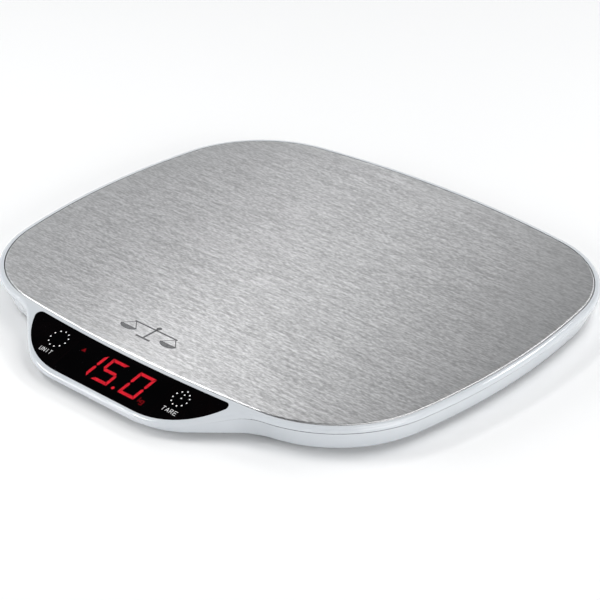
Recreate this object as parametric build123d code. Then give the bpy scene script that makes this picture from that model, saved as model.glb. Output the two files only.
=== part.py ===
from build123d import *
import math
import os

os.makedirs("parts", exist_ok=True)

# Slim kitchen scale with a touch display pod. Millimetres, +Z up, table at z = 0,
# display towards -Y. Plan dimensions below are taken from the middle of the steel
# platform; everything is shifted by ORIGIN_Y on export so that the origin is the
# bottom centre of the whole scale.

# platform outline: gently bowed sides joined by large corner arcs
PLATE_HALF_X = 130.0
PLATE_FRONT = 112.5
PLATE_BACK = 108.3
R_FRONT = 759.0
R_BACK = 478.0
R_SIDE = 334.0
R_CORNER = 57.0
RIM = 3.0

# display pod outline
POD_FRONT = 139.1
POD_FLAT = 25.0
R_POD = 40.0
POD_ANGLE = 41.0
R_BLEND = 30.0
ORIGIN_Y = (POD_FRONT - PLATE_BACK - RIM) / 2

# heights
Z_PLATE = 15.0
Z_RIM = 14.7
Z_FLOOR = 2.3
FLOOR = 1.4
SEAM_DROP = 2.3
SEAM_GAP = 0.5
TUCK = 1.3
EDGE_R = 1.7
SHEET = 0.6
TAPE = 0.2
FLANGE = 2.0
Z_DECK = Z_RIM - SEAM_DROP
Z_BEAM = 11.2
Z_TOP_FLOOR = Z_FLOOR + FLOOR

# display slope: passes through the platform surface at y = -HINGE_Y
SLOPE = 17.0
HINGE_Y = 111.7
BEND_R = 10.0

# feet and load cells
FEET = {
    "front_left": (-90.0, -74.0),
    "front_right": (90.0, -74.0),
    "rear_left": (-90.0, 70.0),
    "rear_right": (90.0, 70.0),
}
CELL = 34.0
CELL_T = 1.2
Z_CELL = 7.2
FOOT_PLAY = 0.4

# lens and display, in the sloping frame: x across, v down the slope, n outward
LENS_T = 1.0
LENS_SINK = 0.1
LENS_V = 26.0
LED_TOP = -1.25
PCB_TOP = -3.4
PCB_T = 0.8
PCB_SCREWS = ((-43.0, 6.0), (43.0, 6.0), (-33.5, 17.5), (33.5, 17.5))
PIN_ROWS = (7.9, 20.7)
SEGMENT = (LED_TOP - 0.4, LED_TOP)
SEGMENT_W = 1.6
SEGMENT_GAP = 0.16
LIT = ("bc", "acdfg", "abcdef")
DIGIT_V = 13.3
DIGITS = (-15.6, -2.7, 14.4)
KEY_X = 38.7
KEY_V = 10.4

# battery bay, two coin cells side by side
BAY_Y = 40.0
COIN_X = 11.2
COIN_R = 10.0
COIN_T = 3.2
Z_COIN = 4.1
DOOR_X = 24.0
DOOR_Y = 13.2
DOOR_T = 1.3
DOOR_HINGE_Y = BAY_Y + DOOR_Y - 1.3
DOOR_HINGE_Z = Z_FLOOR + 1.3

PIN_R = 0.7

# screws that close the shells, and the wiring
SCREWS = ((-106, 0), (106, 0), (-42, 84), (42, 84), (-58, -92), (58, -92))
LEAD_R = 0.45
LEAD_PITCH = 1.3
Z_LEAD = Z_TOP_FLOOR + LEAD_R + 0.05
Z_GAUGE = Z_CELL + CELL_T + LEAD_R + 0.16
PLUGS = {"rear_left": -29.0, "front_left": -37.0, "front_right": 37.0, "rear_right": 29.0}
PLUG_Y = -116.0
PLUG_Z = 7.4
LANE_X = 66.0

S = math.sin(math.radians(SLOPE))
C = math.cos(math.radians(SLOPE))
INCLINE = Plane(origin=(0, -HINGE_Y, Z_PLATE), x_dir=(1, 0, 0), z_dir=(0, -S, C))


# ---------------------------------------------------------------- plan outlines
def meet(c1, r1, c2, r2, way):
    """One crossing of two circles; way picks the side of the line c1-c2."""
    dx, dy = c2[0] - c1[0], c2[1] - c1[1]
    d = math.hypot(dx, dy)
    a = (d * d + r1 * r1 - r2 * r2) / (2 * d)
    h = math.sqrt(r1 * r1 - a * a) * way
    return (c1[0] + (a * dx - h * dy) / d, c1[1] + (a * dy + h * dx) / d)


def along(c, p, r):
    """Point at distance r from c in the direction of p."""
    k = r / math.dist(c, p)
    return (c[0] + (p[0] - c[0]) * k, c[1] + (p[1] - c[1]) * k)


def arc(c, p, q):
    """Short arc about c from p to q."""
    r = math.dist(c, p)
    mid = along(c, ((p[0] + q[0]) / 2, (p[1] + q[1]) / 2), r)
    return ThreePointArc(p, mid, q)


def flip(p):
    return (-p[0], p[1])


def corner_points(half, depth, r_end, r_side, off, way):
    """Centre and tangent points of a corner arc of the platform outline."""
    side = (half - r_side, 0)
    end = (0, way * (depth - r_end))
    c = meet(side, r_side - R_CORNER, end, r_end - R_CORNER, way)
    return c, along(side, c, r_side + off), along(end, c, r_end + off), side, end


def body_face(off):
    """Platform outline moved outward by off."""
    rc, rs, re, side, rear = corner_points(PLATE_HALF_X, PLATE_BACK, R_BACK, R_SIDE, off, 1)
    fc, fs, fe, side, front = corner_points(PLATE_HALF_X, PLATE_FRONT, R_FRONT, R_SIDE, off, -1)
    left = flip(side)
    edges = [
        arc(fc, fe, fs),
        arc(side, fs, rs),
        arc(rc, rs, re),
        arc(rear, re, flip(re)),
        arc(flip(rc), flip(re), flip(rs)),
        arc(left, flip(rs), flip(fs)),
        arc(flip(fc), flip(fs), flip(fe)),
        arc(front, flip(fe), fe),
    ]
    return make_face(edges)


def shell_face(off, pod_off):
    """Outline of the body with its display pod; the two parts move separately."""
    rc, rs, re, side, rear = corner_points(PLATE_HALF_X, PLATE_BACK, R_BACK, R_SIDE, off, 1)
    fc, fs, _, side, _ = corner_points(PLATE_HALF_X, PLATE_FRONT, R_FRONT, R_SIDE, off, -1)
    phi = math.radians(POD_ANGLE)
    pc = (POD_FLAT, R_POD - POD_FRONT)
    r_pod = R_POD + pod_off
    p0 = (POD_FLAT, -POD_FRONT - pod_off)
    p1 = (pc[0] + r_pod * math.sin(phi), pc[1] - r_pod * math.cos(phi))
    r = R_BLEND - pod_off
    ox, oy = p1[0] + r * math.sin(phi), p1[1] - r * math.cos(phi)
    dx, dy = math.cos(phi), math.sin(phi)
    b = (ox - fc[0]) * dx + (oy - fc[1]) * dy
    reach = R_CORNER + off + r
    t = -b - math.sqrt(b * b - (ox - fc[0]) ** 2 - (oy - fc[1]) ** 2 + reach**2)
    k = (ox + t * dx, oy + t * dy)
    p2 = (k[0] - r * math.sin(phi), k[1] + r * math.cos(phi))
    p3 = along(fc, k, R_CORNER + off)
    edges = [
        arc(pc, p0, p1),
        Line(p1, p2),
        arc(k, p2, p3),
        arc(fc, p3, fs),
        arc(side, fs, rs),
        arc(rc, rs, re),
        arc(rear, re, flip(re)),
        arc(flip(rc), flip(re), flip(rs)),
        arc(flip(side), flip(rs), flip(fs)),
        arc(flip(fc), flip(fs), flip(p3)),
        arc(flip(k), flip(p3), flip(p2)),
        Line(flip(p2), flip(p1)),
        arc(flip(pc), flip(p1), flip(p0)),
        Line(flip(p0), p0),
    ]
    return make_face(edges)


def prism(face, z0, z1):
    return extrude(Pos(0, 0, z0) * face, z1 - z0)


def below(drop):
    """Everything under the upper surface lowered by drop: level, bend, slope."""
    reach = BEND_R * math.tan(math.radians(SLOPE / 2))
    y_bend = -HINGE_Y - (Z_PLATE - Z_RIM) * C / S
    z = Z_RIM - drop
    a = (y_bend + reach, z)
    b = (y_bend - reach * C, z - reach * S)
    far = -160.0
    end = (far, z + (far - y_bend) * S / C)
    centre = (a[0], z - BEND_R)
    half = math.radians(SLOPE / 2)
    mid = (centre[0] - BEND_R * math.sin(half), centre[1] + BEND_R * math.cos(half))
    low = -20.0
    edges = [
        Line((140, low), (140, z)),
        Line((140, z), a),
        ThreePointArc(a, mid, b),
        Line(b, end),
        Line(end, (far, low)),
        Line((far, low), (140, low)),
    ]
    return extrude(Plane.YZ * make_face(edges), 150, both=True)


def surface_z(y):
    """Height of the upper surface at y, bend ignored."""
    y_bend = -HINGE_Y - (Z_PLATE - Z_RIM) * C / S
    return Z_RIM + min(0, y - y_bend) * S / C


def box(x0, x1, y0, y1, z0, z1):
    return Pos((x0 + x1) / 2, (y0 + y1) / 2, (z0 + z1) / 2) * Box(x1 - x0, y1 - y0, z1 - z0)


def rod(x, y, z0, z1, r):
    return Pos(x, y, (z0 + z1) / 2) * Cylinder(r, z1 - z0)


def on_slope(shape):
    """Place a shape drawn with x across, -y down the slope and z outward."""
    return INCLINE * shape


def slope_face(face, n0, n1):
    return on_slope(extrude(Pos(0, 0, n0) * face, n1 - n0))


def slope_box(x0, x1, v0, v1, n0, n1):
    return on_slope(box(x0, x1, -v1, -v0, n0, n1))


def slope_rod(x, v, n0, n1, r):
    return on_slope(rod(x, -v, n0, n1, r))


# ---------------------------------------------------------------- platform
def steel_platform():
    """Brushed sheet with a rolled edge and a turned-down flange."""
    plate = prism(body_face(0), Z_PLATE - FLANGE, Z_PLATE)
    plate = fillet(plate.edges().group_by(Axis.Z)[-1], 0.9)
    hollow = prism(body_face(-SHEET), Z_PLATE - FLANGE - 1, Z_PLATE - SHEET)
    return plate - fillet(hollow.edges().group_by(Axis.Z)[-1], 0.35)


def platform_tape():
    """Double-sided adhesive sheet, in one piece, cut back from the flange."""
    return prism(body_face(-6), Z_PLATE - SHEET - TAPE, Z_PLATE - SHEET)


# ---------------------------------------------------------------- lens
def lens_face(off):
    """Window outline in the sloping frame: bowed top, broad lower arcs."""
    side = (25.0, R_POD - LENS_V)
    r_side = R_POD + off
    r_top = 980.0
    top = (0, -2.9 + r_top)
    r_tip = 2.5
    k = meet(side, R_POD - r_tip, top, r_top + r_tip, -1)
    a = along(side, k, r_side)
    b = along(top, k, r_top - off)
    low = (side[0], side[1] - r_side)
    edges = [
        arc(side, low, a),
        arc(k, a, b),
        arc(top, b, flip(b)),
        arc(flip(k), flip(b), flip(a)),
        arc(flip(side), flip(a), flip(low)),
        Line(flip(low), low),
    ]
    return make_face(edges)


def display_window():
    """Smoked acrylic lens bonded into the pod."""
    lens = slope_face(lens_face(0), -LENS_SINK - LENS_T, -LENS_SINK)
    return chamfer(lens.edges().group_by(Axis((0, 0, 0), (0, -S, C)))[-1], 0.2)


def display_openings(n0, n1, grow):
    """Display aperture and the two round touch apertures."""
    cut = slope_box(-29 - grow, 29 + grow, 4.3 - grow, 22.6 + grow, n0, n1)
    for x in (-KEY_X, KEY_X):
        cut += slope_rod(x, KEY_V, n0, n1, 5.4 + grow)
    return cut


def window_tape():
    tape = slope_face(lens_face(-0.3), -1.2, -LENS_SINK - LENS_T)
    return tape - display_openings(-3, 0, 0.2)


# ---------------------------------------------------------------- top shell
def outer_top_edges(slab):
    """Edges where the upper surface meets the outer wall."""
    found = []
    for edge in slab.edges():
        m = edge @ 0.5
        across = abs(m.X) < 0.5 and -116 < m.Y < -108
        if not across and abs(m.Z - surface_z(m.Y)) < 0.2:
            found.append(edge)
    return found


def skirt(z_low):
    """Lip inside the seam that follows the whole outline."""
    ring = prism(shell_face(RIM - 2.9, -3.6), 0, 16) - prism(shell_face(RIM - 3.9, -4.6), -1, 17)
    ring = ring & (below(SEAM_DROP - 0.3) - below(SEAM_DROP + 1.3))
    return ring - box(-150, 150, -150, 150, -1, z_low)


def rib_grid():
    """Stiffening ribs under the platform deck."""
    ribs = Part()
    for x in range(-96, 97, 24):
        ribs += box(x - 0.6, x + 0.6, -104, 104, Z_BEAM, Z_DECK)
    for y in range(-84, 85, 24):
        ribs += box(-126, 126, y - 0.6, y + 0.6, Z_BEAM, Z_DECK)
    return ribs & prism(body_face(-5), Z_BEAM - 1, Z_DECK + 0.2)


def top_shell():
    """Platform tray, rim and display pod in one moulding."""
    slab = prism(shell_face(RIM, 0), -5, 20) & (below(0) - below(SEAM_DROP))
    shell = fillet(outer_top_edges(slab), EDGE_R)
    shell += skirt(Z_TOP_FLOOR + 0.2)
    beam = prism(body_face(0.1), Z_BEAM, Z_DECK + 0.1) - prism(body_face(-5.5), 0, 20)
    shell += beam
    shell += rib_grid()
    for x, y in SCREWS:
        shell += rod(x, y, 6.1, Z_DECK + 0.1, 3.2)
    for corner in FEET:
        for u in (-15.6, 15.6):
            shell += at_corner(corner, box(u - 0.9, u + 0.9, -9, 9, Z_CELL + CELL_T + 0.05, Z_DECK + 0.1))
    for x, v in PCB_SCREWS:
        shell += slope_rod(x, v, PCB_TOP + 0.05, -2.0, 2.0)
    shell -= prism(body_face(0.25), Z_PLATE - SHEET - TAPE, 18)
    shell -= prism(body_face(0.25), Z_PLATE - FLANGE - 0.1, 18) - prism(body_face(-0.9), 0, 20)
    shell -= slope_face(lens_face(0.15), -1.2, 3)
    shell -= display_openings(-4, 0, 0)
    for x, y in SCREWS:
        shell -= rod(x, y, 5, 11.0, 1.1)
    for x, v in PCB_SCREWS:
        shell -= slope_rod(x, v, -5, -1.9, 0.8)
    return shell


# ---------------------------------------------------------------- bottom shell
def tub(z_low, low, z_high, high):
    """Solid between two outlines, each given as (body offset, pod offset)."""
    return loft([Pos(0, 0, z_low) * shell_face(*low), Pos(0, 0, z_high) * shell_face(*high)], ruled=True)


def door_body(grow):
    """Plate of the battery door with its rounded hinge edge, enlarged by grow."""
    r = DOOR_T + grow
    x = DOOR_X + grow
    top = DOOR_HINGE_Z + grow / 2
    plate = box(-x, x, BAY_Y - DOOR_Y - grow, DOOR_HINGE_Y, Z_FLOOR - grow, top)
    return plate + hinge_rod(r, x)


def door_seat():
    """Room for the shut door and for its edge as it swings to a right angle."""
    x = DOOR_X + 0.3
    return door_body(0.3) + box(-x, x, DOOR_HINGE_Y, DOOR_HINGE_Y + DOOR_T + 0.3, 0, DOOR_HINGE_Z)


def hinge_rod(r, x):
    """Round bar of radius r on the door's hinge line, out to x each side."""
    return Pos(0, DOOR_HINGE_Y, DOOR_HINGE_Z) * Rot(0, 90, 0) * Cylinder(r, 2 * x)


def battery_bay():
    """Block with two round cell pockets, open underneath."""
    block = box(-26.5, 26.5, BAY_Y - 16, BAY_Y + 16, Z_FLOOR, 9.4)
    for x in (-COIN_X, COIN_X):
        block -= rod(x, BAY_Y, 0, 8.2, COIN_R + 0.4)
    reach = COIN_X + COIN_R + 0.5
    block -= box(-reach, reach, BAY_Y - 1.7, BAY_Y + 1.7, 0, 8.2)
    return block - box(-COIN_X, COIN_X, BAY_Y - 6, BAY_Y + 6, 0, 8.2)


def bottom_shell():
    """Tub with foot openings, screw posts, battery bay and door seat."""
    outer = tub(Z_FLOOR, (-TUCK, -TUCK - 1.1), Z_DECK, (RIM - 0.2, -0.2))
    outer = fillet(outer.edges().group_by(Axis.Z)[0], 0.6)
    inner = tub(Z_TOP_FLOOR, (-TUCK - 0.9, -TUCK - 2.0), Z_DECK + 1, (RIM - 1.7, -1.9))
    shell = (outer - inner) & below(SEAM_DROP + SEAM_GAP)
    for x, y in SCREWS:
        shell += rod(x, y, Z_FLOOR, 6.0, 4.2)
    shell += battery_bay()
    for corner in FEET:
        shell -= at_corner(corner, rod(0, 0, 0, Z_TOP_FLOOR + 0.01, 12.0))
        for u in (-14.5, 14.5):
            shell -= at_corner(corner, rod(u, u, Z_FLOOR + 0.5, 5, 1.0))
    for x, y in SCREWS:
        shell -= rod(x, y, 0, 4.4, 2.6)
        shell -= rod(x, y, 0, 7, 1.3)
    front = BAY_Y - DOOR_Y
    shell -= door_seat()
    shell -= hinge_rod(PIN_R + 0.08, DOOR_X + 1.7)
    shell -= box(-5, 5, front - 0.9, front + 1.8, Z_FLOOR + 0.5, 5.6)
    shell -= Pos(0, front - 3.2, Z_FLOOR - 7.1) * Rot(0, 90, 0) * Cylinder(8, 14)
    return shell - box(-1.4, 1.4, BAY_Y - 20, BAY_Y - 8, 5.8, 7.2)


# ---------------------------------------------------------------- load cells
def at_corner(name, shape):
    """Turn a corner part drawn with its inner side towards +Y and place it."""
    x, y = FEET[name]
    angle = math.degrees(math.atan2(-math.copysign(1, y), -math.copysign(1, x))) - 90
    return Pos(x, y, 0) * Rot(0, 0, angle) * shape


def load_cell(name):
    """Stamped steel half-bridge cell: square frame with a sprung tongue."""
    plate = extrude(Pos(0, 0, Z_CELL) * RectangleRounded(CELL, CELL, 3), CELL_T)
    for u in (-8, 8):
        plate -= box(u - 0.8, u + 0.8, -10.5, 9.5, Z_CELL - 1, Z_CELL + 3)
    plate -= box(-8.8, 8.8, -10.5, -8.9, Z_CELL - 1, Z_CELL + 3)
    for u in (-14.5, 14.5):
        plate -= rod(u, u, Z_CELL - 1, Z_CELL + 3, 1.1)
    return at_corner(name, plate)


def strain_gauge(name):
    """Foil gauge under a low bead of epoxy."""
    z = Z_CELL + CELL_T
    foil = box(-4, 4, 3.5, 8.5, z, z + 0.1)
    bead = extrude(Pos(0, 6, z + 0.1) * RectangleRounded(7, 4, 1.5), 0.5)
    return at_corner(name, foil + chamfer(bead.edges().group_by(Axis.Z)[-1], 0.25))


def cell_carrier(name):
    """Plastic ring between the shell floor and the load cell."""
    z0, z1 = Z_TOP_FLOOR + 0.02, Z_CELL - 0.02
    ring = extrude(Pos(0, 0, z0) * RectangleRounded(36.5, 36.5, 4), z1 - z0)
    ring -= rod(0, 0, 0, 10, 14.2)
    for u in (-14.5, 14.5):
        ring -= rod(u, u, 0, 10, 1.1)
    ring -= box(-3.2, 3.2, 12, 20, z0 - 1, z1 + 1)
    return at_corner(name, ring)


def foot_plunger(name):
    """Foot button: wide disc through the floor, captive flange, load boss."""
    disc = rod(0, 0, 1.2, 5.2, 11.6)
    disc += rod(0, 0, Z_TOP_FLOOR + FOOT_PLAY + 0.1, 5.2, 13.4)
    disc += rod(0, 0, 5.1, 6.0, 6.0)
    disc += rod(0, 0, 5.9, Z_CELL - 0.03, 2.6)
    disc = chamfer(disc.edges().group_by(Axis.Z)[0], 0.4)
    disc -= rod(0, 0, 0, 2.0, 9.6)
    return at_corner(name, disc)


def foot_pad(name):
    """Rubber disc with a rounded sole and a shallow ring groove."""
    pad = fillet(rod(0, 0, 0, 2.0, 9.5).edges().group_by(Axis.Z)[0], 0.6)
    pad -= rod(0, 0, -1, 0.4, 6.6) - rod(0, 0, -2, 1, 5.6)
    return at_corner(name, pad)


def screw(z_head, z_tip, r_head, r_shank, head, way):
    """Pan head screw; way is +1 with the head on top."""
    shank = rod(0, 0, min(z_head, z_tip), max(z_head, z_tip), r_shank)
    cap = rod(0, 0, min(z_head, z_head + way * head), max(z_head, z_head + way * head), r_head)
    face = z_head + way * head
    for turn in (0, 90):
        slot = Box(r_head * 1.3, r_head * 0.28, head * 0.9)
        cap -= Pos(0, 0, face) * Rot(0, 0, turn) * slot
    return cap + shank


def cell_screws():
    """Two self-tapping screws through each load cell."""
    group = Part()
    one = screw(Z_CELL + CELL_T + 0.02, Z_FLOOR + 0.6, 1.9, 0.98, 1.1, 1)
    for name in FEET:
        for u in (-14.5, 14.5):
            group += at_corner(name, Pos(u, u, 0) * one)
    return group


def shell_screws():
    """Six long screws from below that close the two shells."""
    one = screw(4.35, 10.9, 2.3, 1.08, 1.6, -1)
    return Part() + [Pos(x, y, 0) * one for x, y in SCREWS]


# ---------------------------------------------------------------- display
def bar(p, q, outer):
    """Segment face from node p to q; outer edges are mitred, the middle bar is pointed.

    outer holds a sign for each end: the side of the line that lies outside the digit,
    or 0 where the bar meets the middle one and ends in a point.
    """
    d = math.dist(p, q)
    ux, uy = (q[0] - p[0]) / d, (q[1] - p[1]) / d
    h = SEGMENT_W / 2

    def reach(end, side):
        return h * (-end * side if end else 1) + SEGMENT_GAP

    left = [(reach(outer[0], 1), h), (d - reach(outer[1], 1), h)]
    right = [(d - reach(outer[1], -1), -h), (reach(outer[0], -1), -h)]
    tip_q = [] if outer[1] else [(d - SEGMENT_GAP, 0)]
    tip_p = [] if outer[0] else [(SEGMENT_GAP, 0)]
    pts = [(p[0] + ux * t - uy * s, p[1] + uy * t + ux * s) for t, s in left + tip_q + right + tip_p]
    return make_face(Polyline(*pts, close=True))


def digit_bars(x):
    """Seven segment faces a to g of one digit, leaning slightly."""
    lean = 0.09
    hw, hh = 4.2, 6.4
    node = {}
    for i, xs in enumerate((-hw, hw)):
        for j, ys in enumerate((hh, 0, -hh)):
            node[i, j] = (x + xs + ys * lean, -DIGIT_V + ys)
    ends = {
        "a": ((0, 0), (1, 0), (1, 1)),
        "b": ((1, 0), (1, 1), (1, 0)),
        "c": ((1, 1), (1, 2), (0, 1)),
        "d": ((0, 2), (1, 2), (-1, -1)),
        "e": ((0, 1), (0, 2), (0, -1)),
        "f": ((0, 0), (0, 1), (-1, 0)),
        "g": ((0, 1), (1, 1), (0, 0)),
    }
    return {name: bar(node[p], node[q], outer) for name, (p, q, outer) in ends.items()}


def lit_segments():
    """Segments lit in the resting reading, with the decimal point."""
    group = Part()
    for x, lit in zip(DIGITS, LIT):
        bars = digit_bars(x)
        for name in lit:
            group += slope_face(bars[name], *SEGMENT)
    return group + slope_rod(5.4, 19.8, *SEGMENT, 0.85)


def unlit_segments():
    group = Part()
    for x, lit in zip(DIGITS, LIT):
        bars = digit_bars(x)
        for name in bars:
            if name not in lit:
                group += slope_face(bars[name], *SEGMENT)
    return group + slope_rod(-10.0, 19.8, *SEGMENT, 0.85)


def stroke(x, y, *points):
    """Small filled polygon drawn from (x, y)."""
    return slope_face(make_face(Polyline(*[(x + a, y + b) for a, b in points], close=True)), *SEGMENT)


def unit_marks():
    """Small lamps beside the digits: a triangle and the letters k and g."""
    marks = stroke(-24.9, -9.9, (0, 0), (2.6, 0), (1.3, 2.3))
    marks += stroke(20.9, -20.3, (0, 0), (0.45, 0), (0.45, 2.7), (0, 2.7))
    marks += stroke(20.9, -20.3, (0.6, 0.85), (1.5, 0), (1.9, 0.3), (0.95, 1.15))
    marks += stroke(20.9, -20.3, (0.6, 0.98), (0.95, 0.75), (1.8, 1.6), (1.5, 1.85))
    ring = slope_rod(23.4, 19.4, *SEGMENT, 0.95) - slope_rod(23.4, 19.4, -3, 0, 0.5)
    marks += ring - slope_box(24.0, 25, 17, 22, -3, 0)
    marks += slope_box(24.0, 24.42, 18.5, 20.9, *SEGMENT)
    return marks + slope_box(22.5, 24.42, 20.9, 21.3, *SEGMENT)


def led_housing(marks):
    """White reflector block whose face is filled by the lamp diffusers."""
    block = slope_box(-28.4, 28.4, 4.9, 22.0, PCB_TOP + 0.02, LED_TOP - 0.02)
    return block - marks


def led_pins():
    """Two rows of short legs from the reflector through the board."""
    pins = Part()
    for i in range(10):
        x = -22.5 + 5 * i
        for v in PIN_ROWS:
            pins += slope_rod(x, v, PCB_TOP - PCB_T - 0.5, PCB_TOP + 0.02, 0.25)
    return pins


def main_pcb():
    """Board drawn in towards the front of the pod."""
    pts = [(46, -3.4), (46, -13.5), (32.5, -23.2), (-32.5, -23.2), (-46, -13.5), (-46, -3.4)]
    board = slope_face(make_face(Polyline(*pts, close=True)), PCB_TOP - PCB_T, PCB_TOP)
    for x, v in PCB_SCREWS:
        board -= slope_rod(x, v, -8, 0, 0.95)
    for i in range(10):
        for v in PIN_ROWS:
            board -= slope_rod(-22.5 + 5 * i, v, -8, 0, 0.3)
    return board


def pcb_screws():
    one = screw(PCB_TOP - PCB_T - 0.02, -2.1, 1.5, 0.78, 0.8, -1)
    return Part() + [on_slope(Pos(x, -v, 0) * one) for x, v in PCB_SCREWS]


def pcb_chips():
    """Parts under the board: controller, amplifier, driver, passives, crystal."""
    n1 = PCB_TOP - PCB_T - 0.02
    chips = slope_box(-5, 5, 9.4, 15.4, n1 - 1.2, n1)
    chips += slope_box(11, 17, 10, 14, n1 - 1.2, n1)
    chips += slope_box(-20, -13, 9.5, 14.5, n1 - 1.2, n1)
    for i in range(5):
        chips += slope_box(-29 + 2.6 * i, -27.8 + 2.6 * i, 16.6, 17.6, n1 - 0.6, n1)
        chips += slope_box(15 + 3 * i, 16.4 + 3 * i, 16.6, 17.6, n1 - 0.6, n1)
    chips += slope_rod(24, 12, n1 - 1.8, n1, 2.0)
    return chips


def touch_pads():
    """Conductive foam between the board and the lens, under each key."""
    return Part() + [slope_rod(x, KEY_V, PCB_TOP + 0.02, -1.12, 4.6) for x in (-KEY_X, KEY_X)]


# ---------------------------------------------------------------- wiring
def shifted(points, d):
    """Plan polyline moved sideways by d with mitred corners."""
    out = []
    for i, (x, y) in enumerate(points):
        dirs = []
        if i > 0:
            dirs.append((x - points[i - 1][0], y - points[i - 1][1]))
        if i < len(points) - 1:
            dirs.append((points[i + 1][0] - x, points[i + 1][1] - y))
        dirs = [(a / math.hypot(a, b), b / math.hypot(a, b)) for a, b in dirs]
        nx = sum(-b for a, b in dirs) / len(dirs)
        ny = sum(a for a, b in dirs) / len(dirs)
        k = d / (nx * nx + ny * ny)
        out.append((x + nx * k, y + ny * k))
    return out


def lead(points):
    """Round insulated lead: straight runs joined by tangent bends."""
    path = FilletPolyline(*points, radius=1.2)
    return sweep(Plane(path @ 0, z_dir=path % 0) * Circle(LEAD_R), path=path)


def harness(name):
    """Three leads from the gauge of one corner to its plug behind the board."""
    x, y = FEET[name]
    sx, sy = math.copysign(1, x), math.copysign(1, y)
    inward = lambda reach: (x - sx * reach * math.sqrt(0.5), y - sy * reach * math.sqrt(0.5))
    drop = inward(20.5)
    lane = [(sx * LANE_X, drop[1] - abs(abs(drop[0]) - LANE_X)), (sx * LANE_X, -40.0)] if sy > 0 else []
    plan = [inward(8.2), drop] + lane + [(PLUGS[name], -92.0), (PLUGS[name], -106.0), (PLUGS[name], PLUG_Y)]
    wires = Part()
    for i in (-1, 0, 1):
        row = shifted(plan, i * LEAD_PITCH)
        points = [(*row[0], Z_GAUGE), (*row[1], Z_GAUGE)]
        points += [(*p, Z_LEAD) for p in row[1:-2]]
        points += [(*row[-2], PLUG_Z), (*row[-1], PLUG_Z)]
        wires += lead(points)
    return wires


def battery_leads():
    """Supply and return from the bay wall to the power plug."""
    wires = Part()
    for x in (-LEAD_PITCH / 2, LEAD_PITCH / 2):
        y = BAY_Y - 13.6
        points = [(x, y, 6.5), (x, y - 5, 6.5), (x, y - 5, Z_LEAD), (x, -92, Z_LEAD)]
        wires += lead(points + [(x, -106, PLUG_Z), (x, PLUG_Y, PLUG_Z)])
    return wires


def pcb_connectors():
    """Plug blocks on the board underside, bored for their leads."""
    n1 = PCB_TOP - PCB_T - 0.02
    group = slope_box(-2.4, 2.4, 3.6, 7.4, n1 - 3.6, n1)
    bores = [-LEAD_PITCH / 2, LEAD_PITCH / 2]
    for x in PLUGS.values():
        group += slope_box(x - 2.9, x + 2.9, 3.6, 7.4, n1 - 3.6, n1)
        bores += [x - LEAD_PITCH, x, x + LEAD_PITCH]
    for x in bores:
        group -= Pos(x, PLUG_Y + 2.6, PLUG_Z) * Rot(90, 0, 0) * Cylinder(LEAD_R + 0.05, 6)
    return group


# ---------------------------------------------------------------- power
def coin_cell(x):
    """Lithium coin: can with a stepped, smaller cap on the upper side."""
    can = fillet(rod(x, BAY_Y, Z_COIN, Z_COIN + 2.8, COIN_R).edges(), 0.3)
    return can + rod(x, BAY_Y, Z_COIN + 2.7, Z_COIN + COIN_T, COIN_R - 1.2)


def top_contacts():
    """Sprung strips on the bay roof that press on the cell caps."""
    group = Part()
    for x in (-COIN_X, COIN_X):
        group += box(x - 1.5, x + 1.5, BAY_Y - 7.5, BAY_Y + 7.5, 7.9, 8.18)
        group += rod(x, BAY_Y, Z_COIN + COIN_T + 0.02, 7.95, 1.2)
    return group + box(-COIN_X, COIN_X, BAY_Y - 1.2, BAY_Y + 1.2, 7.9, 8.18)


def side_contacts():
    """Tabs against the can walls, one of them carrying the supply leads."""
    group = Part()
    for sx in (-1, 1):
        x = sx * (COIN_X + COIN_R + 0.06)
        group += box(min(x, x + sx * 0.28), max(x, x + sx * 0.28), BAY_Y - 1.4, BAY_Y + 1.4, 4.6, 7.8)
    return group


def battery_door():
    """Flat door turning on two short pins at its rear edge."""
    plate = door_body(0) + hinge_rod(PIN_R, DOOR_X + 1.5)
    front = BAY_Y - DOOR_Y
    plate += box(-4, 4, front, front + 1.2, DOOR_HINGE_Z - 0.3, 5.2)
    plate += box(-4, 4, front - 0.2, front + 0.2, 4.3, 4.9)
    for i in range(5):
        y = front + 3.2 + 1.5 * i
        plate -= box(-5, 5, y, y + 0.7, Z_FLOOR - 1, Z_FLOOR + 0.35)
    return plate


def write(shape, name):
    export_step(Pos(0, ORIGIN_Y, 0) * shape, f"parts/{name}.step")


lit, unlit, marks = lit_segments(), unlit_segments(), unit_marks()
write(steel_platform(), "steel_platform")
write(platform_tape(), "platform_tape")
write(top_shell(), "top_shell")
write(bottom_shell(), "bottom_shell")
write(shell_screws(), "shell_screws")
write(display_window(), "display_window")
write(window_tape(), "window_tape")
write(lit, "led_lit_segments")
write(unlit, "led_unlit_segments")
write(marks, "led_unit_marks")
write(led_housing(lit + unlit + marks), "led_housing")
write(led_pins(), "led_pins")
write(main_pcb(), "main_pcb")
write(pcb_screws(), "pcb_screws")
write(pcb_chips(), "pcb_chips")
write(pcb_connectors(), "pcb_connectors")
write(touch_pads(), "touch_pads")
write(battery_leads(), "battery_leads")
write(coin_cell(-COIN_X), "coin_cell_left")
write(coin_cell(COIN_X), "coin_cell_right")
write(top_contacts(), "battery_top_contacts")
write(side_contacts(), "battery_side_contacts")
write(battery_door(), "battery_door")
write(cell_screws(), "cell_screws")
for corner in FEET:
    write(load_cell(corner), f"load_cell_{corner}")
    write(strain_gauge(corner), f"strain_gauge_{corner}")
    write(cell_carrier(corner), f"cell_carrier_{corner}")
    write(foot_plunger(corner), f"foot_plunger_{corner}")
    write(foot_pad(corner), f"foot_pad_{corner}")
    write(harness(corner), f"harness_{corner}")
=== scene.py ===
"""Looks of a kitchen scale around its CAD frame: materials, printed marks, studio and camera."""

import math

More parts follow.
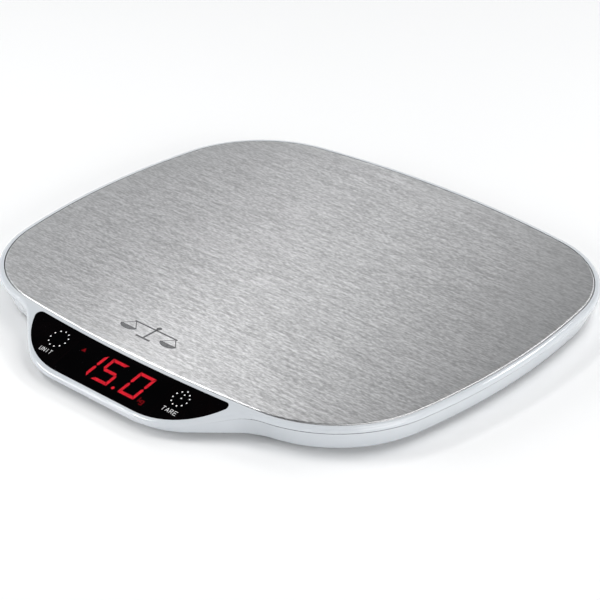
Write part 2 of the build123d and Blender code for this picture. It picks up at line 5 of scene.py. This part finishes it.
import bmesh
import bpy
from mathutils import Matrix, Vector


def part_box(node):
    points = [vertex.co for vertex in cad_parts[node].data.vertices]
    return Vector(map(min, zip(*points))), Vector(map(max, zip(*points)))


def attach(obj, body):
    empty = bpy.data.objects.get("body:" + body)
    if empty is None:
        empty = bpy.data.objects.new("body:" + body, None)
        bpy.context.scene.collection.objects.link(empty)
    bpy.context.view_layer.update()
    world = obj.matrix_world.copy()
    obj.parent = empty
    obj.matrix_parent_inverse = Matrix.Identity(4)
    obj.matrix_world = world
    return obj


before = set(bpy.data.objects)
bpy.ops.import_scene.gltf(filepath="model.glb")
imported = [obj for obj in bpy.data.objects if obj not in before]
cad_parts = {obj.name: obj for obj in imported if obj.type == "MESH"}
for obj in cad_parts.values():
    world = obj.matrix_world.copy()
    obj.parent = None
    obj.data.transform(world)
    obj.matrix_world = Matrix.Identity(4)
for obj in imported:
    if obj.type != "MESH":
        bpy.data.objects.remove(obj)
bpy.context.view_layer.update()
MM = 0.001
CORNERS = ("front_left", "front_right", "rear_left", "rear_right")

# sockets of the Mix node, whose names repeat for each data type
FLOAT_A, FLOAT_B, FLOAT_OUT = 2, 3, 0
COLOUR_A, COLOUR_B, COLOUR_OUT = 6, 7, 2


# ---------------- node helpers
def new_material(name):
    mat = bpy.data.materials.new(name)
    mat.use_nodes = True
    tree = mat.node_tree
    return mat, tree, tree.nodes["Principled BSDF"]


def put(tree, kind, **values):
    """New node with its unlinked sockets set by name."""
    node = tree.nodes.new(kind)
    for key, value in values.items():
        if key in node.inputs:
            node.inputs[key].default_value = value
        else:
            setattr(node, key, value)
    return node


def coords(tree, scale):
    """Position in the object, stretched by scale."""
    place = put(tree, "ShaderNodeTexCoord")
    mapping = put(tree, "ShaderNodeMapping", Scale=scale)
    tree.links.new(place.outputs["Object"], mapping.inputs["Vector"])
    return mapping.outputs["Vector"]


def noise(tree, scale, detail=3.0, stretch=(1, 1, 1)):
    node = put(tree, "ShaderNodeTexNoise", Scale=scale, Detail=detail)
    tree.links.new(coords(tree, stretch), node.inputs["Vector"])
    return node.outputs["Fac"]


def ramp(tree, source, low, high, start=0.35, end=0.65):
    """Map a noise value to a range."""
    node = put(tree, "ShaderNodeMapRange")
    node.inputs["From Min"].default_value = start
    node.inputs["From Max"].default_value = end
    node.inputs["To Min"].default_value = low
    node.inputs["To Max"].default_value = high
    tree.links.new(source, node.inputs["Value"])
    return node.outputs["Result"]


def tint(tree, source, dark, light):
    """Mix two colours by a noise value."""
    node = put(tree, "ShaderNodeMix", data_type="RGBA")
    node.inputs[COLOUR_A].default_value = (*dark, 1)
    node.inputs[COLOUR_B].default_value = (*light, 1)
    tree.links.new(source, node.inputs["Factor"])
    return node.outputs[COLOUR_OUT]


def bump(tree, source, strength, distance):
    """Normal from a height, with its depth in metres."""
    node = put(tree, "ShaderNodeBump", Strength=strength, Distance=distance)
    tree.links.new(source, node.inputs["Height"])
    return node.outputs["Normal"]


def spread_of(color, share):
    """A darker and a lighter version of a colour."""
    return [c * (1 - share) for c in color], [min(1, c * (1 + share)) for c in color]


def plain(
    name, color, rough, metallic=0.0, spread=0.06, scale=180.0, relief=0.15, coat=0.0
):
    """Even material with fine mottling in colour, roughness and surface."""
    mat, tree, bsdf = new_material(name)
    mottle = ramp(tree, noise(tree, scale), 0, 1)
    tree.links.new(tint(tree, mottle, *spread_of(color, spread)), bsdf.inputs["Base Color"])
    wear = ramp(tree, noise(tree, scale * 0.4), rough * 0.85, rough * 1.15)
    tree.links.new(wear, bsdf.inputs["Roughness"])
    surface = bump(tree, noise(tree, scale * 8), relief, 0.04 * MM)
    tree.links.new(surface, bsdf.inputs["Normal"])
    bsdf.inputs["Metallic"].default_value = metallic
    bsdf.inputs["Coat Weight"].default_value = coat
    bsdf.inputs["Coat Roughness"].default_value = 0.08
    return mat


# cycles per metre along the brushing, and across it
GRAIN = (480, 2500)
STREAK = (70, 900)
STREAK_SHARE = 0.35
BRUSH_RANGE = (0.36, 0.64)


def brushed(name, color, rough, contrast=0.2, pitch=1.0):
    """Steel brushed along X: short fine grain over longer, fainter streaks."""
    mat, tree, bsdf = new_material(name)
    grain = noise(tree, 1.0, 1.0, (GRAIN[0] * pitch, GRAIN[1] * pitch, GRAIN[1]))
    streak = noise(tree, 1.0, 2.0, (STREAK[0] * pitch, STREAK[1] * pitch, STREAK[1]))
    share = put(tree, "ShaderNodeMix")
    share.inputs["Factor"].default_value = STREAK_SHARE
    tree.links.new(grain, share.inputs[FLOAT_A])
    tree.links.new(streak, share.inputs[FLOAT_B])
    mixed = share.outputs[FLOAT_OUT]
    lines = ramp(tree, mixed, 0, 1, *BRUSH_RANGE)
    tree.links.new(tint(tree, lines, *spread_of(color, contrast)), bsdf.inputs["Base Color"])
    wear = ramp(tree, mixed, rough * 0.9, rough * 1.1, *BRUSH_RANGE)
    tree.links.new(wear, bsdf.inputs["Roughness"])
    tree.links.new(bump(tree, mixed, 0.3, 0.01 * MM), bsdf.inputs["Normal"])
    bsdf.inputs["Metallic"].default_value = 1.0
    bsdf.inputs["Anisotropic"].default_value = 1.0
    tangent = put(tree, "ShaderNodeCombineXYZ", X=0.0, Y=1.0, Z=0.0)
    tree.links.new(tangent.outputs[0], bsdf.inputs["Tangent"])
    return mat


def painted_crevice_shade(tree, color, reach):
    """Painted shade: darken a colour towards near black inside gaps narrower than reach."""
    shade = put(tree, "ShaderNodeAmbientOcclusion", Distance=reach, samples=8)
    power = put(tree, "ShaderNodeMath", operation="POWER")
    power.inputs[1].default_value = 1.6
    tree.links.new(shade.outputs["AO"], power.inputs[0])
    node = put(tree, "ShaderNodeMix", data_type="RGBA")
    node.inputs[COLOUR_A].default_value = (0.03, 0.03, 0.03, 1)
    tree.links.new(power.outputs[0], node.inputs["Factor"])
    tree.links.new(color, node.inputs[COLOUR_B])
    return node.outputs[COLOUR_OUT]


def gloss_white(name):
    """White moulded shell: faint cool mottling under a gloss skin, with painted shade in its
    seams and gaps.
    """
    mat, tree, bsdf = new_material(name)
    cloud = ramp(tree, noise(tree, 9.0, 2.0), 0, 1)
    skin = tint(tree, cloud, (0.55, 0.58, 0.612), (0.59, 0.615, 0.642))
    # painted shade: the seams and gaps of the shell are darkened in its colour
    tree.links.new(painted_crevice_shade(tree, skin, 1.2 * MM), bsdf.inputs["Base Color"])
    tree.links.new(ramp(tree, noise(tree, 60.0), 0.13, 0.2), bsdf.inputs["Roughness"])
    surface = bump(tree, noise(tree, 900.0, 2.0), 0.05, 0.02 * MM)
    tree.links.new(surface, bsdf.inputs["Normal"])
    bsdf.inputs["Coat Weight"].default_value = 0.6
    bsdf.inputs["Coat Roughness"].default_value = 0.07
    return mat


def smoked_lens(name):
    """Dark acrylic: glossy, letting a little red light through."""
    mat, tree, bsdf = new_material(name)
    tree.links.new(ramp(tree, noise(tree, 90.0), 0.03, 0.07), bsdf.inputs["Roughness"])
    shade = ramp(tree, noise(tree, 40.0), 0, 1)
    smoke = tint(tree, shade, (0.0005, 0.0005, 0.0008), (0.0015, 0.0015, 0.002))
    tree.links.new(smoke, bsdf.inputs["Base Color"])
    bsdf.inputs["Specular IOR Level"].default_value = 0.1
    clear = put(tree, "ShaderNodeBsdfTransparent", Color=(0.4, 0.2, 0.22, 1))
    mix = put(tree, "ShaderNodeMixShader", Fac=0.5)
    out = tree.nodes["Material Output"]
    tree.links.new(bsdf.outputs[0], mix.inputs[1])
    tree.links.new(clear.outputs[0], mix.inputs[2])
    tree.links.new(mix.outputs[0], out.inputs["Surface"])
    return mat


def lamp(name, color, power):
    """Lit diffuser with a slightly uneven glow."""
    mat, tree, bsdf = new_material(name)
    glow = ramp(tree, noise(tree, 700.0, 2.0), 0.8, 1.15)
    scaled = put(tree, "ShaderNodeMath", operation="MULTIPLY")
    scaled.inputs[1].default_value = power
    tree.links.new(glow, scaled.inputs[0])
    bsdf.inputs["Base Color"].default_value = (*[c * 0.5 for c in color], 1)
    bsdf.inputs["Emission Color"].default_value = (*color, 1)
    tree.links.new(scaled.outputs[0], bsdf.inputs["Emission Strength"])
    bsdf.inputs["Roughness"].default_value = 0.4
    return mat


def paint(nodes, mat):
    """Give one material to whole CAD nodes."""
    for name in nodes:
        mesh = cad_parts[name].data
        mesh.materials.clear()
        mesh.materials.append(mat)


def four(stem):
    return [f"{stem}_{corner}" for corner in CORNERS]


# ---------------- CAD materials
paint(["top_shell", "bottom_shell", "battery_door"], gloss_white("white_shell"))
paint(["steel_platform"], brushed("brushed_platform", (0.60, 0.60, 0.603), 0.315))
paint(["display_window"], smoked_lens("smoked_acrylic"))
paint(["led_lit_segments"], lamp("segment_lit", (1.0, 0.1, 0.15), 16.0))
paint(["led_unit_marks"], lamp("mark_lit", (1.0, 0.06, 0.1), 4.0))
paint(["led_unlit_segments"], plain("segment_off", (0.012, 0.006, 0.006), 0.5))
paint(["led_housing"], plain("reflector_face", (0.008, 0.008, 0.009), 0.6))
paint(["window_tape"], plain("black_tape", (0.006, 0.006, 0.006), 0.8))
FOAM = plain("foam", (0.01, 0.01, 0.011), 0.95, scale=900.0, relief=0.8)
paint(["touch_pads"], FOAM)
paint(["platform_tape"], plain("platform_tape", (0.62, 0.61, 0.57), 0.8))
paint(["main_pcb"], plain("board", (0.02, 0.16, 0.07), 0.35, spread=0.15, scale=400.0))
paint(["pcb_chips"], plain("chip", (0.02, 0.02, 0.02), 0.55, scale=1500.0, relief=0.5))
paint(["pcb_connectors"], plain("nylon", (0.74, 0.71, 0.62), 0.45))
TINNED = plain("tinned", (0.62, 0.62, 0.60), 0.3, metallic=1.0, scale=2000.0)
paint(["led_pins"], TINNED)
ZINC = plain("zinc", (0.58, 0.59, 0.60), 0.28, 1.0, 0.1, 600.0)
paint(["pcb_screws", "cell_screws", "shell_screws"], ZINC)
COIN = brushed("coin_steel", (0.62, 0.62, 0.61), 0.22, pitch=2.0)
paint(["coin_cell_left", "coin_cell_right"], COIN)
CONTACT = plain("contact", (0.66, 0.56, 0.34), 0.3, 1.0, 0.1, 500.0)
paint(["battery_top_contacts", "battery_side_contacts"], CONTACT)
paint(four("load_cell"), brushed("cell_steel", (0.46, 0.46, 0.47), 0.3, contrast=0.15))
paint(four("strain_gauge"), plain("gauge", (0.62, 0.32, 0.08), 0.25, coat=0.6))
paint(four("cell_carrier"), plain("carrier", (0.035, 0.035, 0.04), 0.5))
paint(four("foot_plunger"), plain("foot_grey", (0.36, 0.38, 0.40), 0.45))
RUBBER = plain("rubber", (0.03, 0.03, 0.032), 0.8, spread=0.2, scale=500.0, relief=0.5)
paint(four("foot_pad"), RUBBER)
paint(four("harness") + ["battery_leads"], plain("lead", (0.45, 0.03, 0.025), 0.4))


# ---------------- thin printed pieces
def slope_axes():
    """Frame of the lens face: mid front edge, then right, up the slope and outward."""
    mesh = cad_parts["display_window"].data
    out = Vector()
    for poly in mesh.polygons:
        if poly.normal.z > 0.9:
            out += poly.normal * poly.area
    out.normalize()
    right = Vector((1, 0, 0))
    rise = out.cross(right)
    height = max(v.co.dot(out) for v in mesh.vertices)
    face = [v.co.dot(rise) for v in mesh.vertices if v.co.dot(out) > height - 1e-5]
    return out * height + rise * min(face), right, rise, out


def panel_matrix(origin, right, rise, out):
    """Placement of a flat drawing."""
    rows = [[right[i], rise[i], out[i], origin[i]] for i in range(3)]
    return Matrix(rows + [[0, 0, 0, 1]])


def thin_piece(name, outlines, matrix, thickness, mat, body="scale_body"):
    """Flat outlines given in millimetres, raised by thickness and placed by matrix."""
    work = bmesh.new()
    for outline in outlines:
        lower = [work.verts.new((x * MM, y * MM, 0)) for x, y in outline]
        work.faces.new(lower)
    lifted = bmesh.ops.extrude_face_region(work, geom=work.faces[:])
    top = [v for v in lifted["geom"] if isinstance(v, bmesh.types.BMVert)]
    bmesh.ops.translate(work, verts=top, vec=(0, 0, thickness * MM))
    bmesh.ops.recalc_face_normals(work, faces=work.faces[:])
    mesh = bpy.data.meshes.new(name)
    work.to_mesh(mesh)
    work.free()
    mesh.transform(matrix)
    mesh.materials.append(mat)
    piece = bpy.data.objects.new(name, mesh)
    bpy.context.scene.collection.objects.link(piece)
    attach(piece, body)


def disc(x, y, r, steps=20):
    turn = 2 * math.pi / steps
    return [(x + r * math.cos(turn * i), y + r * math.sin(turn * i)) for i in range(steps)]


def stroke(x0, y0, x1, y1, w):
    """Rectangle of width w from one point to another."""
    d = math.hypot(x1 - x0, y1 - y0)
    nx, ny = -(y1 - y0) / d * w / 2, (x1 - x0) / d * w / 2
    ends = ((x0, y0, 1), (x0, y0, -1), (x1, y1, -1), (x1, y1, 1))
    return [(x + side * nx, y + side * ny) for x, y, side in ends]


DOT_R = 0.37


def dot_ring(x, y, r, count, skip=()):
    """Evenly spaced dots, the first one at the top."""
    dots = []
    for i in range(count):
        if i in skip:
            continue
        a = math.pi / 2 + 2 * math.pi * i / count
        dots.append(disc(x + r * math.cos(a), y + r * math.sin(a), DOT_R))
    return dots


# corners that the pen passes, on a box 0..1 wide and 0..1 high
LETTERS = {
    "U": [[(0, 1), (0, 0.2), (0.25, 0), (0.75, 0), (1, 0.2), (1, 1)]],
    "N": [[(0, 0), (0, 1), (1, 0), (1, 1)]],
    "I": [[(0.5, 0), (0.5, 1)]],
    "T": [[(0, 1), (1, 1)], [(0.5, 0), (0.5, 1)]],
    "A": [[(0, 0), (0.5, 1), (1, 0)], [(0.2, 0.35), (0.8, 0.35)]],
    "R": [[(0, 0), (0, 1), (0.8, 1), (0.8, 0.5), (0, 0.5)], [(0.4, 0.5), (1, 0)]],
    "E": [[(1, 0), (0, 0), (0, 1), (1, 1)], [(0, 0.5), (0.8, 0.5)]],
}


def word(text, x, y, height, width, pitch, w):
    """Stroke lettering centred on x with its foot at y."""
    out = []
    start = x - pitch * (len(text) - 1) / 2 - width / 2
    for i, letter in enumerate(text):
        x0 = start + i * pitch
        for line in LETTERS[letter]:
            pen = [(x0 + px * width, y + py * height) for px, py in line]
            out += [stroke(*p, *q, w) for p, q in zip(pen, pen[1:])]
    return out


INK = plain("white_ink", (0.8, 0.8, 0.8), 0.5, scale=1200.0)
ETCH = plain(
    "etched_grey", (0.22, 0.225, 0.23), 0.6, metallic=0.6, spread=0.15, scale=1500.0
)
PANEL = panel_matrix(*slope_axes())
INK_T = 0.03
ETCH_T = 0.01

# key rings and their words, in millimetres from the middle of the lens's front edge
KEY_X = 38.6
KEY_UP = 15.4
KEY_DOTS = 11
UNIT_RING_R = 4.8
TARE_RING_R = 4.2
POINTER_STEP = 2.2
WORD_H = 2.2

unit = dot_ring(-KEY_X, KEY_UP, UNIT_RING_R, KEY_DOTS)
thin_piece("unit_key_ring", unit, PANEL, INK_T, INK)
tare = dot_ring(KEY_X, KEY_UP + 0.4, TARE_RING_R, KEY_DOTS, skip=(0,))
tare += [disc(KEY_X, KEY_UP + 0.8 + POINTER_STEP * i, DOT_R) for i in range(3)]
thin_piece("tare_key_ring", tare, PANEL, INK_T, INK)
unit_word = word("UNIT", -KEY_X - 0.3, 6.0, WORD_H, 1.3, 2.0, 0.2)
thin_piece("unit_label", unit_word, PANEL, INK_T, INK)
tare_word = word("TARE", KEY_X + 0.4, 6.9, WORD_H, 1.6, 2.35, 0.22)
thin_piece("tare_label", tare_word, PANEL, INK_T, INK)

# balance pictogram etched in the platform, in millimetres from the foot of its post
POST_TOP = 10.4
BEAM_UP = 9.4
BEAM_HALF = 13.5
PAN_X = 12.6
PAN_UP = 4.6
PAN_R = 5.0
PAN_SQUASH = 0.62
CORD_W = 0.45


def pan(x, steps=14):
    """Half disc, flattened, with its straight side up."""
    turns = [math.pi * i / steps for i in range(steps + 1)]
    depth = PAN_SQUASH * PAN_R
    return [(x + PAN_R * math.cos(a), PAN_UP - depth * math.sin(a)) for a in turns]


def emblem():
    post = stroke(0, 1.2, 0, POST_TOP, 1.1)
    foot = stroke(-4.4, 0.6, 4.4, 0.6, 1.2)
    beam = stroke(-BEAM_HALF, BEAM_UP, BEAM_HALF, BEAM_UP, 0.9)
    shapes = [post, foot, disc(0, 11.2, 1.3), beam]
    for x in (-PAN_X, PAN_X):
        shapes.append(pan(x))
        for reach in (-4.2, 4.2):
            shapes.append(stroke(x, BEAM_UP - 0.2, x + reach, PAN_UP, CORD_W))
    return shapes


low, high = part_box("steel_platform")
middle = (low.x + high.x) / 2
spot = Vector((middle - 7 * MM, low.y + 12.5 * MM, high.z))
EMBLEM = panel_matrix(spot, Vector((1, 0, 0)), Vector((0, 1, 0)), Vector((0, 0, 1)))
thin_piece("platform_emblem", emblem(), EMBLEM, ETCH_T, ETCH)

# ---------------- studio
FLOOR_HALF = 6.0
FLOOR_DROP = 0.2 * MM


def floor():
    mesh = bpy.data.meshes.new("studio_floor")
    s = FLOOR_HALF
    corners = [(-s, -s, 0), (s, -s, 0), (s, s, 0), (-s, s, 0)]
    mesh.from_pydata(corners, [], [(0, 1, 2, 3)])
    mat = plain("floor", (0.9, 0.9, 0.9), 0.7, spread=0.005, scale=3.0, relief=0.0)
    mesh.materials.append(mat)
    piece = bpy.data.objects.new("studio_floor", mesh)
    bpy.context.scene.collection.objects.link(piece)
    piece.location.z = -FLOOR_DROP


def softbox(name, place, aim, size, power):
    """Rectangular light at a place, turned to its aim: metres and watts."""
    data = bpy.data.lights.new(name, "AREA")
    data.shape = "RECTANGLE"
    data.size, data.size_y = size
    data.energy = power
    light = bpy.data.objects.new(name, data)
    light.location = place
    beam = Vector(aim) - Vector(place)
    light.rotation_euler = beam.to_track_quat("-Z", "Y").to_euler()
    bpy.context.scene.collection.objects.link(light)


def sky(horizon, top):
    """Pale surroundings, darker overhead."""
    world = bpy.data.worlds.new("studio")
    world.use_nodes = True
    tree = world.node_tree
    place = put(tree, "ShaderNodeTexCoord")
    split = put(tree, "ShaderNodeSeparateXYZ")
    tree.links.new(place.outputs["Generated"], split.inputs[0])
    shade = ramp(tree, split.outputs["Z"], horizon, top, 0.0, 0.7)
    tree.links.new(shade, tree.nodes["Background"].inputs["Strength"])
    tree.nodes["Background"].inputs["Color"].default_value = (0.96, 0.98, 1.0, 1)
    bpy.context.scene.world = world


floor()
sky(1.25, 0.11)
softbox("strip", (-0.62, -0.36, 0.92), (0, 0, 0), (0.5, 0.05), 3.5)
softbox("overhead", (0.4, 0.35, 1.3), (0.05, 0, 0), (0.7, 0.7), 6.0)
softbox("front", (-0.82, -0.72, 0.4), (0, -0.1, 0), (0.5, 0.35), 4.8)
softbox("rear", (0.2, 0.95, 0.95), (0, 0, 0), (1.0, 0.12), 4.5)
softbox("side", (1.2, -0.25, 0.45), (0, 0, 0), (0.8, 0.4), 6.2)

# ---------------- camera
AZ, EL = math.radians(41.86), math.radians(29.72)
LENS_MM = 128.97
SENSOR_MM = 36.0
DISTANCE = 1.0
target = Vector((middle + 22.9 * MM, low.y + 86.2 * MM, high.z))
flat = math.cos(EL)
back = Vector((math.sin(AZ) * flat, -math.cos(AZ) * flat, math.sin(EL)))
cam = bpy.data.objects.new("camera", bpy.data.cameras.new("camera"))
cam.data.lens = LENS_MM
cam.data.sensor_width = SENSOR_MM
cam.location = target + back * DISTANCE
cam.rotation_euler = back.to_track_quat("Z", "Y").to_euler()
bpy.context.scene.collection.objects.link(cam)
bpy.context.scene.camera = cam
bpy.context.scene.view_settings.view_transform = "Standard"
